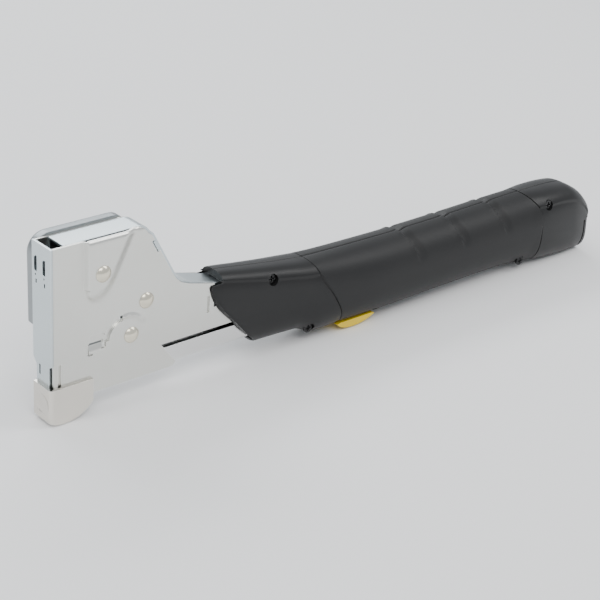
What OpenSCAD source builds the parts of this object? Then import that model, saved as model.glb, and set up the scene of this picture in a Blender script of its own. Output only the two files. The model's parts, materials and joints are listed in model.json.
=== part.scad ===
// Hammer tacker: a striking handle and frame, and a nose and magazine that swing under it.
// X runs from the front plate to the butt, Y to the tool's right, Z up from the plane it stands on.

/* [Overall] */
// Length from the front plate to the end of the butt
overall_l = 355; // [340:1:375]
// Height of the head above the standing plane
head_h = 84.7; // [80:0.5:92]
// Width over the two side plates
head_w = 14.6; // [14:0.2:17]
// Rise of the nose when it is struck, in degrees about the magazine pivot
strike_angle = 2.4; // [1:0.1:2.4]

/* [Head] */
// Length of the head along the bottom edge
head_l = 67; // [64:1:72]
// Thickness of the side plates
side_t = 1.2; // [1:0.1:1.5]
// Thickness of the front plate
front_t = 1.2; // [1:0.1:1.5]
// Height at which the front plate narrows
front_step_z = 29; // [26:0.5:32]
// Half width of the front plate's narrow foot
front_foot_w = 4.6; // [4:0.1:5]
// Height of the side plates' lower edge
side_low_z = 10; // [8.5:0.5:10.2]
// Depth of the raised panel on the left plate
panel_rise = 2.4; // [1.5:0.1:3]
// Depth of the cover on the right plate
cover_depth = 5.6; // [4.6:0.1:8]
// Wall of the cover
cover_t = 1.2; // [1:0.1:1.6]

/* [Striker] */
// Sheet thickness of the striker frame
frame_t = 1.2; // [1:0.1:1.5]
// Thickness of the driver blade
blade_t = 1; // [0.8:0.1:1.1]
// Width of the driver blade
blade_w = 10.2; // [9.6:0.1:10.4]
// Height of the blade's tip at rest
blade_tip_z = 19.2; // [19.2:0.1:20]

/* [Magazine] */
// Height of the channel's underside
chan_z = 10.8; // [10.4:0.1:11.4]
// Outside height of the channel
chan_h = 9.3; // [9:0.1:9.4]
// Wall of the channel
chan_t = 0.7; // [0.6:0.05:0.75]
// Outside width of a staple's crown
staple_w = 10.6; // [10.6:0.1:10.8]
// Staple wire thickness
staple_t = 0.6; // [0.5:0.05:0.65]
// Number of staples shown in the strip
staple_count = 60; // [20:1:62]
// Radius of the magazine pivot studs
stud_r = 3; // [2.5:0.1:3.5]

/* [Rivets and screws] */
// Radius of the body rivets' domed heads
rivet_head_r = 3.9; // [3:0.1:4.5]
// Radius of the body rivets' shanks
rivet_r = 2.2; // [1.8:0.1:2.4]
// Radius of the handle screws' shanks
screw_r = 1.5; // [1.2:0.1:1.6]
// Radius of the handle screws' heads
screw_head_r = 2.6; // [2.2:0.1:2.9]

/* [Handle] */
// Wall of the handle halves
wall = 2.4; // [2:0.1:2.8]
// Thickness of the rubber grips
grip_t = 1.4; // [1:0.1:1.6]
// Half width of the latch
latch_w = 11; // [9:0.5:11.5]

/* [Clearances] */
// Gap between sliding sheet parts
slide_gap = 0.2; // [0.15:0.05:0.3]
// Radial gap of a running pin
run_gap = 0.05; // [0.03:0.01:0.08]
// Gap between the handle's mouth and the side plates
mouth_gap = 0.6; // [0.4:0.1:1]

/* [Hidden] */
$fn = 48;
big = 400;
eps = 0.01;

side_y = head_w / 2;                 // outer face of a side plate
side_in = side_y - side_t;           // inner face of a side plate
frame_y = side_in - slide_gap;       // outer face of the frame's flanges
frame_in = frame_y - frame_t;        // inner face of the frame's flanges
top_z = head_h;

// Handle: stations run from 0 at its front edge to 1 at the butt
handle_x = head_l + 13;
handle_l = overall_l - handle_x;
function hx(f) = handle_x + f * handle_l;
top_line = [[0, 50.3], [0.04, 49.5], [0.105, 46.9], [0.175, 44.2], [0.25, 42], [0.36, 41.2],
            [0.47, 40.8], [0.58, 41], [0.71, 41.6], [0.83, 42], [0.88, 41.9], [0.93, 41],
            [0.965, 36], [0.99, 30], [1, 26]];
low_line = [[0, 7.4], [0.205, 7.2], [0.255, 2.6], [0.345, 2.1], [0.47, 2.4], [0.6, 2.9],
            [0.72, 3], [0.8, 1.6], [0.88, 0], [0.93, -0.8], [1, -0.8]];
half_line = [[0, 9.8], [0.105, 11.3], [0.175, 12.5], [0.25, 14.4], [0.31, 15.6], [0.4, 16.5],
             [0.85, 16.3], [0.94, 15.4], [1, 13]];
square_line = [[0, 3.4], [0.2, 3.2], [0.3, 2.6], [0.4, 2.3], [0.8, 2.2], [0.93, 2.7], [1, 2.7]];
stations = [0, 0.02, 0.06, 0.105, 0.14, 0.175, 0.205, 0.23, 0.255, 0.3, 0.345, 0.4, 0.47, 0.53,
            0.6, 0.66, 0.72, 0.76, 0.8, 0.84, 0.88, 0.91, 0.93, 0.95, 0.965, 0.98, 0.99, 1];
ring_points = 28;
grip_start = 0.24;                   // top of the grip's slanted front edge
grip_end = 0.825;
overhang = 3;                        // butt's upper part past its lower part
overhang_z = 19.5;
butt_x = overall_l - overhang;

// Screws in the handle, as [station, height, end of the shank]
screws = [[0.153, 40, 8.5], [0.24, 7.8, 8.5], [0.858, 35.5, 8.5], [0.793, 6.4, 5.5]];
boss_r = screw_r + 2.6;

// Pivot of the nose and magazine in the handle
pivot_x = hx(0.88);
pivot_z = 16.5;
function rise(x) = (pivot_x - x) * sin(strike_angle);
function lean(z) = (z - pivot_z) * sin(strike_angle);

// Rivets through the head, as [x, z, panel]
rivets = [[25.2, head_h - 16.3, 1], [50, head_h - 36.7, 0], [42, 33, 0]];
spring_at = rivets[2];

// Staple channel and what runs in it
chan_in = staple_w / 2 + 0.1;
chan_y = chan_in + chan_t;
chan_x = front_t + 0.3 + blade_t + 0.4;
chan_end = pivot_x + 14;
floor_z = chan_z + chan_t;
rail_y = staple_w / 2 - staple_t - 0.1;
rail_t = 0.8;
rail_low = floor_z + 0.6;
rail_top = rail_low + 6.2;
crown_z = rail_top + 0.1;
staple_low = rail_low + 0.1;
strip_x = chan_x + 0.2;
staple_pitch = 1.4;
strip_end = strip_x + staple_count * staple_pitch;
rod_r = 1;
rod_z = 15.5;
rod_start = strip_end + 2;
cap_x = chan_end + 2;
cap_end = butt_x - 1;
outlet_z = blade_tip_z - rise(2) - 0.4;

// Nose shoe
shoe_t = 1.5;
shoe_y = side_y + shoe_t;
shoe_l = 20.8;
shoe_h = 18;
shoe_front = -shoe_t;
shoe_r = 19;                         // radius of the curved sole

// Torsion spring
coil_r = 9.3;
coil_wire = 1.8;
coil_turns = 4;
bush_r = 8;
leg_at = [22, 33.8];                 // free end of the spring, under the block

latch_x = hx(0.356);
latch_low = 0.6;
latch_l = 25;
latch_pivot_x = latch_x + 3;
latch_pivot_z = chan_z - 3;
latch_pin_r = 1.5;

// ---- helpers ----
// Solid between y = a and y = b from a flat outline in X and Z
module across(a, b) {
    translate([0, b, 0]) rotate([90, 0, 0]) linear_extrude(b - a) children();
}
module pin_y(x, z, r, a, b) {
    translate([x, b, z]) rotate([90, 0, 0]) cylinder(r = r, h = b - a);
}
module both_sides() {
    children();
    mirror([0, 1, 0]) children();
}
function ring(f, inset) = let (
    zt = lookup(f, top_line) - inset, zb = lookup(f, low_line) + inset,
    a = lookup(f, half_line) - inset, n = lookup(f, square_line),
    b = (zt - zb) / 2, zc = (zt + zb) / 2)
    [for (i = [0 : ring_points - 1]) let (t = 360 * i / ring_points, c = cos(t), s = sin(t))
        [hx(f), a * sign(c) * pow(abs(c), 2 / n), zc + b * sign(s) * pow(abs(s), 2 / n)]];
module handle_form(inset = 0, from = 0, to = 1) {
    list = [for (f = stations) if (f >= from && f <= to) f];
    count = len(list);
    m = ring_points;
    points = [for (f = list) each ring(f, inset)];
    sides = [for (j = [0 : count - 2]) for (i = [0 : m - 1])
        [j * m + i, (j + 1) * m + i, (j + 1) * m + (i + 1) % m, j * m + (i + 1) % m]];
    first = [for (i = [0 : m - 1]) i];
    last = [for (i = [0 : m - 1]) (count - 1) * m + m - 1 - i];
    polyhedron(points, concat(sides, [first], [last]), convexity = 6);
}
// Side view of the space that the grips fill
module grip_zone() {
    polygon([[hx(grip_start), 60], [hx(grip_start), 43], [hx(grip_start + 0.012), 34],
             [hx(grip_start + 0.04), 22], [hx(grip_start + 0.06), 10], [hx(grip_start + 0.064), -5],
             [hx(grip_end), -5], [hx(grip_end), 60]]);
}
// Side view of the handle's front cut: everything before it is open
module front_cut() {
    polygon([[handle_x - 5, 60], [handle_x - 1, 53], [handle_x + 1.7, 47.3],
             [handle_x + 5.2, 39.2], [handle_x + 11.5, 29.4], [handle_x + 17, 23.5],
             [handle_x + 25, 14.2], [handle_x + 30, 9], [handle_x + 33, 0], [handle_x - 5, 0]]);
}
mouth_y = side_y + mouth_gap;
tail_end = handle_x + 32;
tail_room = side_low_z + 24 + rise(handle_x + 11) + 0.6 - chan_z;
module handle_solid() {
    difference() {
        union() {
            difference() {
                handle_form();
                across(-big, big) grip_zone();
            }
            intersection() {
                handle_form(grip_t);
                across(-big, big) grip_zone();
            }
        }
        difference() {
            translate([0, 0, 0]) handle_form(grip_t + wall, 0, 0.965);
            handle_ribs();
        }
        across(-big, big) front_cut();
        // Mouth for the side plates and the magazine
        translate([handle_x - 10, -mouth_y, -1]) cube([21, 2 * mouth_y, 60]);
        translate([handle_x - 10, -mouth_y, chan_z - 1.2]) cube([95, 2 * mouth_y, 12]);
        translate([handle_x - 10, -side_y - 0.3, chan_z]) cube([tail_end - handle_x + 12, head_w + 0.6, tail_room]);
        // Butt: flat foot, stepped end and the slot for the end cap
        translate([0, -big / 2, -20]) cube([big, big, 20]);
        translate([butt_x, -big / 2, -1]) cube([20, big, overhang_z + 1]);
        translate([chan_end - 6, -chan_y - 0.9, chan_z - 3]) cube([40, 2 * (chan_y + 0.9), 15]);
        translate([cap_x - 1, -chan_y - 0.9, 1.4]) cube([40, 2 * (chan_y + 0.9), 12]);
        // Window for the latch
        translate([latch_x - latch_l / 2 - 2, -latch_w - 0.8, -5])
            cube([latch_l + 4, 2 * latch_w + 1.6, 22]);
    }
}
// Bosses for the screws and the two pads that hold the pivot bracket
module handle_ribs() {
    for (s = screws) {
        intersection() {
            pin_y(hx(s[0]), s[1], boss_r, -30, 30);
            union() {
                translate([0, -big / 2, chan_z + 9.3 + 6]) cube([big, big, big]);
                translate([0, -big / 2, -10]) cube([big, big, 10 + chan_z - 0.5]);
            }
        }
    }
    both_sides() pin_y(pivot_x, pivot_z + 2, 7, bracket_y, 30);
}
module screw_cuts() {
    for (s = screws) {
        pin_y(hx(s[0]), s[1], screw_r + 0.1, -30, s[2] + 0.5);
        pin_y(hx(s[0]), s[1], screw_head_r + 0.3, -30, -screw_seat(s));
    }
    across(-tang_y - 0.1, tang_y + 0.1) tang_outline();
}
// Half width of the handle's surface at a station and a height
function side_at(f, z) = let (
    zt = lookup(f, top_line), zb = lookup(f, low_line), n = lookup(f, square_line),
    k = abs(2 * z - zt - zb) / (zt - zb))
    lookup(f, half_line) * pow(1 - pow(k, n), 1 / n);
function screw_seat(s) = side_at(s[0], s[1]) - 3;
module half(side) {
    intersection() {
        children();
        translate([-50, side > 0 ? 0 : -big, -50]) cube([600, big, 200]);
    }
}
module handle_left() {
    color([0.14, 0.14, 0.145]) difference() {
        half(-1) handle_solid();
        screw_cuts();
    }
}
module handle_right() {
    color([0.14, 0.14, 0.145]) difference() {
        half(1) handle_solid();
        screw_cuts();
    }
}
module grip_ring() {
    difference() {
        intersection() {
            handle_form();
            across(-big, big) grip_zone();
        }
        handle_form(grip_t);
        translate([latch_x - latch_l / 2 - 2, -latch_w - 0.8, -5])
            cube([latch_l + 4, 2 * latch_w + 1.6, 16]);
        translate([0, -big / 2, -20]) cube([big, big, 20]);
        for (s = screws) pin_y(hx(s[0]), s[1], screw_head_r + 0.3, -30, 0);
    }
}
module grip_left() {
    color([0.2, 0.2, 0.2]) half(-1) grip_ring();
}
module grip_right() {
    color([0.2, 0.2, 0.2]) half(1) grip_ring();
}
module handle_screws() {
    color([0.1, 0.1, 0.1]) for (s = screws) difference() {
        union() {
            pin_y(hx(s[0]), s[1], screw_r, -screw_seat(s), s[2]);
            pin_y(hx(s[0]), s[1], screw_head_r, -screw_seat(s) - 1.8, -screw_seat(s));
        }
        translate([hx(s[0]) - 0.5, -screw_seat(s) - 2, s[1] - 1.7]) cube([1, 1.1, 3.4]);
        translate([hx(s[0]) - 1.7, -screw_seat(s) - 2, s[1] - 0.5]) cube([3.4, 1.1, 1]);
    }
}

// ---- striker ----
// Upper edge of the head in side view, from the front to the handle
module head_top(drop = 0, last = 90) {
    polygon([[0, 0], [0, top_z - drop], [44 - 0.4 * drop, top_z - drop],
             for (a = [75 : -15 : 30]) [44 - 0.4 * drop + 7 * cos(a), top_z - drop - 7 + 7 * sin(a)],
             [52.6 - drop, top_z - 5.6 - 0.6 * drop], [64 - drop, top_z - 26.6 - 0.6 * drop],
             [66.2 - drop, top_z - 30 - 0.8 * drop], [69.4 - 0.6 * drop, top_z - 33 - drop],
             [74 - 0.2 * drop, top_z - 35.2 - drop], [tail_x, top_z - 39 - drop],
             [last, top_z - 45 - drop], [last, 0]]);
}
tang_y = frame_y;
frame_out = 1.8;                     // how far the frame stands proud of the plates' back slope
module tang_outline() {
    polygon([[80, 31.2], [80, 44.5], [88, 43.2], [98, 42.2], [hx(0.19), 42.2 - 1.6],
             [hx(0.2), 38], [hx(0.2), 34], [hx(0.19), 33], [96, 33]]);
}
// Side view of the frame's flanges
module flange_outline() {
    difference() {
        union() {
            intersection() {
                translate([frame_out, 0]) head_top();
                polygon([[7.3, 53.5], [31, 53.5], [31, 38], [60, 38], [70, 33.5], [90, 33.5],
                         [90, 100], [7.3, 100]]);
            }
            tang_outline();
        }
        for (r = rivets) hull() {
            translate([r[0], r[1]]) circle(r = rivet_r + 1.4);
            translate([r[0] + lean(r[1]) + 0.3, r[1] + rise(r[0]) + 0.6]) circle(r = rivet_r + 1);
        }
    }
}
module frame_web() {
    intersection() {
        translate([frame_out, 0]) difference() {
            head_top();
            head_top(frame_t);
        }
        translate([7.3, 20]) square([75, 100]);
    }
}
module striker_frame() {
    color([0.66, 0.68, 0.7]) difference() {
        union() {
            across(-frame_y, frame_y) frame_web();
            both_sides() across(frame_in, frame_y) flange_outline();
        }
        pin_y(hx(screws[0][0]), screws[0][1], screw_r + 0.1, -20, 20);
        for (p = block_pin_at) pin_y(p[0], p[1], 1.5, -20, 20);
    }
}
block_x = front_t + 0.3 + blade_t;
block_back = 28;
block_low = 38;
block_top = rivets[0][1] - rivet_r - 1.4;
block_pin_at = [[11, 60], [19, 60]];
// The block and the blade lean back, so that the blade lies along the front plate when it is struck
module leaned() {
    translate([front_t + 0.3, 0, blade_tip_z]) rotate([0, strike_angle, 0])
        translate([-front_t - 0.3, 0, -blade_tip_z]) children();
}
module driver_block() {
    color([0.3, 0.3, 0.31]) difference() {
        leaned() difference() {
            union() {
                across(-frame_in, frame_in) polygon([[block_x, block_low + 4], [block_x + 4, block_low],
                    [block_back - 2, block_low], [block_back, block_low + 2], [block_back, block_top - 3],
                    [block_back - 3, block_top], [block_x, block_top]]);
                across(-frame_in, frame_in) translate([block_x, block_top - 1]) square([12, 12]);
            }
            for (z = blade_rivet_z) translate([block_x - 1, 0, z]) rotate([0, 90, 0]) cylinder(r = 1, h = 6);
        }
        for (p = block_pin_at) pin_y(p[0], p[1], 1.5, -20, 20);
    }
}
blade_rivet_z = [50, 62];
module driver_blade() {
    color([0.6, 0.6, 0.6]) leaned() difference() {
        translate([front_t + 0.3, -blade_w / 2, blade_tip_z])
            cube([blade_t, blade_w, block_top + 8 - blade_tip_z]);
        for (z = blade_rivet_z) translate([0, 0, z]) rotate([0, 90, 0]) cylinder(r = 1, h = 6);
    }
}
module block_pins() {
    color([0.5, 0.5, 0.5]) for (p = block_pin_at) pin_y(p[0], p[1], 1.5, -frame_y, frame_y);
}
module blade_rivets() {
    color([0.5, 0.5, 0.5]) leaned() for (z = blade_rivet_z) {
        translate([front_t + 0.3, 0, z]) rotate([0, 90, 0]) cylinder(r = 1, h = blade_t + 5);
    }
}
bracket_y = chan_y + 3;
bracket_t = 1.8;
module pivot_bracket() {
    color([0.55, 0.56, 0.58]) difference() {
        union() {
            both_sides() across(bracket_y - bracket_t, bracket_y) hull() {
                translate([pivot_x, pivot_z]) circle(r = 6);
                translate([pivot_x - 6, chan_z + chan_h + 5]) square([12, bracket_t]);
            }
            translate([pivot_x - 6, -bracket_y, chan_z + chan_h + 5]) cube([12, 2 * bracket_y, bracket_t]);
        }
        pin_y(pivot_x, pivot_z, stud_r + run_gap, -20, 20);
    }
}

// ---- nose and magazine ----
tail_x = 88.5;
module side_outline() {
    low = side_low_z;
    difference() {
        intersection() {
            head_top(0, 112);
            polygon([[front_t, low], [head_l - 3, low], [head_l - 1, low + 0.6],
                     [head_l, low + 2.4], [head_l - 8.4, low + 13], [112, low + 13],
                     [112, low + 24], [tail_x, low + 24], [tail_x, 100], [front_t, 100]]);
        }
        // Slot in the tail, and the slot behind the front plate's foot
        translate([84.2, low + 22]) square([1.9, 9]);
        translate([2.8, -1]) square([2, front_step_z + 1]);
    }
}
// Raised panel: its plan profile, cut to a rounded outline seen from the side
module panel_form(inset = 0) {
    intersection() {
        translate([0, 0, 53 + inset]) linear_extrude(top_z - 53 - 2 * inset + (inset > 0 ? 3 : 0))
            polygon([[17 + inset, -side_y + side_t - eps], [17 + inset, -side_y - panel_rise + inset],
                     [31 - inset, -side_y - panel_rise + inset], [39 - 2.5 * inset, -side_y + side_t - eps]]);
        across(-30, 30) union() {
            translate([26, 62]) circle(r = 9 - inset);
            translate([17 + inset, 62]) square([24, 40]);
        }
    }
}
window_low = 34;
module left_openings() {
    // Window beside the spring and the relief slots round its tab
    translate([19, window_low]) square([8, 4.2]);
    translate([18.6, window_low - 5]) square([0.8, 6]);
    translate([27, window_low - 5]) square([0.8, 6]);
    // Arc opening over the spring
    difference() {
        translate([spring_at[0] - 3.5, spring_at[1]]) circle(r = 11.2);
        translate([spring_at[0] - 3.5, spring_at[1]]) circle(r = 8.6);
        translate([spring_at[0] - 20, spring_at[1] - 20]) square([40, 20]);
        translate([spring_at[0] - 6, spring_at[1]]) square([30, 20]);
    }
}
module left_side_plate() {
    color([0.76, 0.76, 0.73]) difference() {
        union() {
            across(-side_y, -side_in) side_outline();
            panel_form();
        }
        panel_form(side_t);
        across(-20, 0) left_openings();
        for (r = rivets) pin_y(r[0], r[1], rivet_r, -20, 0);
        mirror([0, 1, 0]) channel_rivet_forms();
    }
}
module right_side_plate() {
    color([0.76, 0.76, 0.73]) difference() {
        across(side_in, side_y) difference() {
            side_outline();
            square([4.8, front_step_z]);
        }
        for (r = rivets) pin_y(r[0], r[1], rivet_r, 0, 20);
        channel_rivet_forms();
    }
}
cover_low = 40;
cover_back = 48;
module cover_outline(inset = 0) {
    polygon([[inset, cover_low + 4 + inset], [4, cover_low + inset], [cover_back - 8, cover_low + inset],
             [cover_back - inset, cover_low + 10], [cover_back - inset, top_z - 6],
             for (a = [0 : 22.5 : 90])
                 [cover_back - 6 + (6 - inset) * cos(a), top_z - 4.8 + (6 - inset) * sin(a)],
             for (a = [90 : 22.5 : 180]) [9 + (9 - inset) * cos(a), top_z - 7.8 + (9 - inset) * sin(a)]]);
}
module side_cover() {
    color([0.5, 0.52, 0.54]) difference() {
        across(side_y, side_y + cover_depth) cover_outline();
        across(side_y - 1, side_y + cover_depth - cover_t) cover_outline(cover_t);
        translate([9, side_y - 1, top_z - 4]) cube([cover_back - 16, cover_depth - cover_t + 1, 10]);
        pin_y(rivets[1][0], rivets[1][1], rivet_head_r + 0.4, side_y - 1, side_y + 2);
    }
}
module front_plate() {
    color([0.6, 0.65, 0.64]) difference() {
        union() {
            translate([0, -side_y, front_step_z]) cube([front_t, head_w, top_z - front_step_z]);
            translate([0, -front_foot_w - 0.6, outlet_z]) cube([front_t, 2 * front_foot_w + 0.6, 26]);
        }
        // Two lanced slots
        for (y = [-2.4, 4.2]) {
            translate([-1, y - 0.6, 71]) cube([3, 1.2, 7.2]);
            translate([-1, y - 0.5, 65]) cube([3, 1, 4]);
        }
    }
}
// Side view of the shoe's walls
module shoe_outline() {
    intersection() {
        translate([shoe_front, 0]) square([shoe_l - shoe_front, shoe_h]);
        union() {
            translate([6, shoe_r]) circle(r = shoe_r, $fn = 96);
            translate([shoe_front, shoe_r]) square([shoe_l - shoe_front, 5]);
        }
    }
}
module nose_shoe() {
    color([0.72, 0.7, 0.66]) difference() {
        across(-shoe_y, shoe_y) shoe_outline();
        // Room for the side plates and what lies between them
        translate([0, -side_y, 1.6]) cube([shoe_l + 1, head_w, 30]);
        // Staple path through the sole
        translate([-0, -staple_w / 2 - 0.2, -5]) cube([chan_x + 0.4, staple_w + 0.4, 20]);
        // Far front corner is open
        translate([shoe_front - 1, front_foot_w + 0.4, -1]) cube([5.8 - shoe_front, 20, 30]);
        // Slanted rim of the front wall
        translate([shoe_front - 1, -side_y, shoe_h]) rotate([-16, 0, 0]) cube([shoe_t + 1, 30, 20]);
        translate([shoe_front - 1, -20, -1]) cube([shoe_t + 1, 40, outlet_z + 1]);
    }
}
module nose_block() {
    color([0.4, 0.4, 0.42]) difference() {
        translate([chan_x + 0.4, -side_in, outlet_z]) cube([15, 2 * side_in, chan_z - outlet_z]);
        pin_y(12, (chan_z + outlet_z) / 2, 1.2, -20, 20);
    }
}
module guide_pads() {
    color([0.25, 0.27, 0.27]) both_sides()
        translate([15, frame_in + 0.2, 24]) cube([14, side_in - frame_in - 0.2, 16]);
}
// A domed head that sits on a face at height 0, pointing up
module dome(r, h) {
    ball = (r * r + h * h) / (2 * h);
    rotate_extrude() intersection() {
        translate([0, h - ball]) circle(r = ball, $fn = 96);
        square([r, h]);
    }
}
module body_rivets() {
    color([0.74, 0.71, 0.62]) for (r = rivets) {
        left = -side_y - r[2] * panel_rise;
        pin_y(r[0], r[1], rivet_r, left, side_y);
        translate([r[0], left, r[1]]) rotate([90, 0, 0]) dome(rivet_head_r, 1.6);
        translate([r[0], side_y, r[1]]) rotate([-90, 0, 0]) dome(rivet_head_r, 1.4);
    }
}
module rivet_spacers() {
    color([0.6, 0.6, 0.6]) for (i = [0, 1]) difference() {
        pin_y(rivets[i][0], rivets[i][1], rivet_r + 0.3, -frame_in + 0.3, frame_in - 0.3);
        pin_y(rivets[i][0], rivets[i][1], rivet_r, -20, 20);
    }
}
module spring_bush() {
    color([0.2, 0.2, 0.2]) difference() {
        pin_y(spring_at[0], spring_at[1], bush_r, -frame_in + 0.4, frame_in - 0.4);
        pin_y(spring_at[0], spring_at[1], rivet_r, -20, 20);
    }
}
module return_spring() {
    span = coil_turns * coil_wire;
    half = coil_wire / 2;
    color([0.42, 0.33, 0.27]) {
        translate([spring_at[0], 0, spring_at[1]]) rotate([90, 0, 0]) rotate_extrude()
            polygon([[coil_r - half, 0.5 - span / 2], [coil_r - half + 0.5, -span / 2],
                     [coil_r + half - 0.5, -span / 2], [coil_r + half, 0.5 - span / 2],
                     [coil_r + half, span / 2 - 0.5], [coil_r + half - 0.5, span / 2],
                     [coil_r - half + 0.5, span / 2], [coil_r - half, span / 2 - 0.5]]);
        // Leg under the driver block, tangent to the coil, and leg against the magazine
        reach = norm([spring_at[0] - leg_at[0], spring_at[1] - leg_at[1]]);
        slope = atan2(spring_at[1] - leg_at[1], spring_at[0] - leg_at[0]) + asin(coil_r / reach);
        translate([leg_at[0], 1 - span / 2, leg_at[1]]) rotate([0, 90 - slope, 0])
            cylinder(r = half - 0.2, h = sqrt(reach * reach - coil_r * coil_r));
        translate([spring_at[0], span / 2 - 1, spring_at[1] - coil_r]) rotate([0, 90, 0])
            cylinder(r = half - 0.2, h = 16);
    }
}
module channel_profile() {
    r = 2;
    difference() {
        union() {
            translate([-chan_y, chan_z + r]) square([2 * chan_y, chan_h - r]);
            translate([-chan_y + r, chan_z]) square([2 * (chan_y - r), chan_h]);
            for (s = [-1, 1]) translate([s * (chan_y - r), chan_z + r]) circle(r = r);
        }
        translate([-chan_in, floor_z]) square([2 * chan_in, chan_h - 2 * chan_t]);
        translate([-chan_in + 1.6, floor_z]) square([2 * chan_in - 3.2, chan_h]);
    }
}
module along_x(a, b) {
    translate([a, 0, 0]) rotate([90, 0, 90]) linear_extrude(b - a) children();
}
module magazine_channel() {
    color([0.78, 0.78, 0.78]) difference() {
        along_x(chan_x, chan_end) channel_profile();
        // Slot in the floor for the latch's tooth
        translate([latch_x - 8, -3.2, chan_z - 1]) cube([11, 6.4, 2]);
        for (x = channel_rivet_x) pin_y(x, chan_z + 4, 1.3, -20, 20);
        pin_y(pivot_x, pivot_z, 1.6, -20, 20);
    }
}
channel_rivet_x = [34, 60];
// Blind rivets: their outer ends stay inside the side plates
module channel_rivet_forms() {
    for (x = channel_rivet_x) pin_y(x, chan_z + 4, 1.3, chan_in, side_in + 0.6);
}
module channel_rivets() {
    color([0.74, 0.71, 0.62]) both_sides() channel_rivet_forms();
}
module hinge_studs() {
    color([0.5, 0.5, 0.52]) both_sides() {
        pin_y(pivot_x, pivot_z, stud_r, chan_y, bracket_y + 0.6 - 0.8);
        pin_y(pivot_x, pivot_z, 1.6, chan_in, chan_y + 0.1);
    }
}
module latch_bracket() {
    color([0.6, 0.6, 0.62]) difference() {
        union() {
            translate([latch_pivot_x - 3.5, -5, chan_z - 0.8]) cube([7, 10, 0.8]);
            both_sides() translate([latch_pivot_x - 3.5, 4, chan_z - 5.5]) cube([7, 1, 5.5]);
        }
        pin_y(latch_pivot_x, latch_pivot_z, latch_pin_r, -20, 20);
    }
}
module latch_pin() {
    color([0.5, 0.5, 0.52]) pin_y(latch_pivot_x, latch_pivot_z, latch_pin_r, -5, 5);
}
module latch() {
    x0 = latch_x - latch_l / 2;
    color([0.85, 0.72, 0.05]) difference() {
        union() {
            // Curved finger pad
            across(-latch_w, latch_w) polygon([[x0, 4], [x0 + 2, 2.2], [x0 + 7, latch_low],
                [x0 + 16, latch_low], [x0 + 22, 2.2], [x0 + latch_l, 4], [x0 + latch_l - 1.5, 4.6],
                [x0 + 2, 4.6]]);
            // Lug on the pin and the arm that carries the tooth
            pin_y(latch_pivot_x, latch_pivot_z, 2.1, -3.7, 3.7);
            translate([latch_pivot_x - 2.1, -3.7, 4]) cube([4.2, 7.4, latch_pivot_z - 4]);
            translate([latch_x - 5, -2.6, 4]) cube([3, 5.2, chan_z - 3.2]);
        }
        pin_y(latch_pivot_x, latch_pivot_z, latch_pin_r + run_gap, -20, 20);
    }
}
module latch_spring() {
    color([0.42, 0.33, 0.27]) translate([latch_x + 9.4, 0, 4.6]) difference() {
        cylinder(r = 1.6, h = chan_z - 4.6);
        translate([0, 0, -1]) cylinder(r = 1, h = 20);
    }
}
module staple_strip() {
    color([0.75, 0.75, 0.76]) along_x(strip_x, strip_end) difference() {
        translate([-staple_w / 2, staple_low]) square([staple_w, crown_z + staple_t - staple_low]);
        translate([-staple_w / 2 + staple_t, staple_low - 1])
            square([staple_w - 2 * staple_t, crown_z - staple_low + 1]);
    }
}
module core_rail() {
    color([0.7, 0.7, 0.71]) {
        difference() {
            along_x(chan_x + 0.2, cap_x + 2) difference() {
                translate([-rail_y, rail_low]) square([2 * rail_y, rail_top - rail_low]);
                translate([-rail_y + rail_t, rail_low - 1])
                    square([2 * (rail_y - rail_t), rail_top - rail_low - rail_t + 1]);
            }
            // Slot for the pusher's tongue
            translate([40, -1.6, rail_top - 3]) cube([160, 3.2, 6]);
        }
        // Stop for the latch's tooth
        translate([latch_x - 9.6, -rail_y + rail_t - 0.05, rail_low + 0.1])
            cube([4, 2 * (rail_y - rail_t) + 0.1, 1]);
    }
}
module guide_rod() {
    color([0.6, 0.6, 0.6]) translate([rod_start, 0, rod_z]) rotate([0, 90, 0])
        cylinder(r = rod_r, h = cap_x + 4 - rod_start);
}
pusher_l = 16;
module pusher_spring() {
    start = strip_end + pusher_l - 3;
    color([0.42, 0.33, 0.27]) translate([start, 0, rod_z]) rotate([0, 90, 0]) difference() {
        cylinder(r = 1.8, h = cap_x - 1.5 - start);
        translate([0, 0, -1]) cylinder(r = 1.2, h = 400);
    }
}
module end_cap() {
    color([0.16, 0.16, 0.17]) difference() {
        union() {
            translate([cap_x, -chan_y, 3]) cube([cap_end - cap_x, 2 * chan_y, overhang_z - 4.6]);
            translate([cap_x - 1.4, -rail_y + rail_t, rail_low + 0.6])
                cube([2, 2 * (rail_y - rail_t), rail_top - rail_t - rail_low - 0.7]);
        }
        // Finger ridges across the end
        for (z = [6, 9, 12]) translate([cap_end - 0.6, -20, z]) cube([2, 40, 1]);
        translate([cap_x - 2, 0, rod_z]) rotate([0, 90, 0]) cylinder(r = rod_r, h = 6);
        // Socket for the end of the rail
        along_x(cap_x - 1, cap_x + 2) difference() {
            translate([-rail_y, rail_low]) square([2 * rail_y, rail_top - rail_low]);
            translate([-rail_y + rail_t, rail_low - 1])
                square([2 * (rail_y - rail_t), rail_top - rail_low - rail_t + 1]);
        }
    }
}
module pusher() {
    x0 = strip_end + 0.05;
    color([0.3, 0.3, 0.32]) difference() {
        union() {
            along_x(x0, x0 + pusher_l) difference() {
                translate([-chan_in + 0.15, rail_low]) square([2 * chan_in - 0.3, crown_z + 0.7 - rail_low]);
                translate([-rail_y - 0.1, rail_low - 1]) square([2 * rail_y + 0.2, rail_top - rail_low + 1.1]);
            }
            translate([x0 + pusher_l - 6, -1.3, rod_z - 1.5]) cube([2.9, 2.6, rail_top + 0.4 - rod_z + 1.5]);
        }
        translate([x0, 0, rod_z]) rotate([0, 90, 0]) cylinder(r = rod_r + 0.08, h = 40);
    }
}

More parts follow.
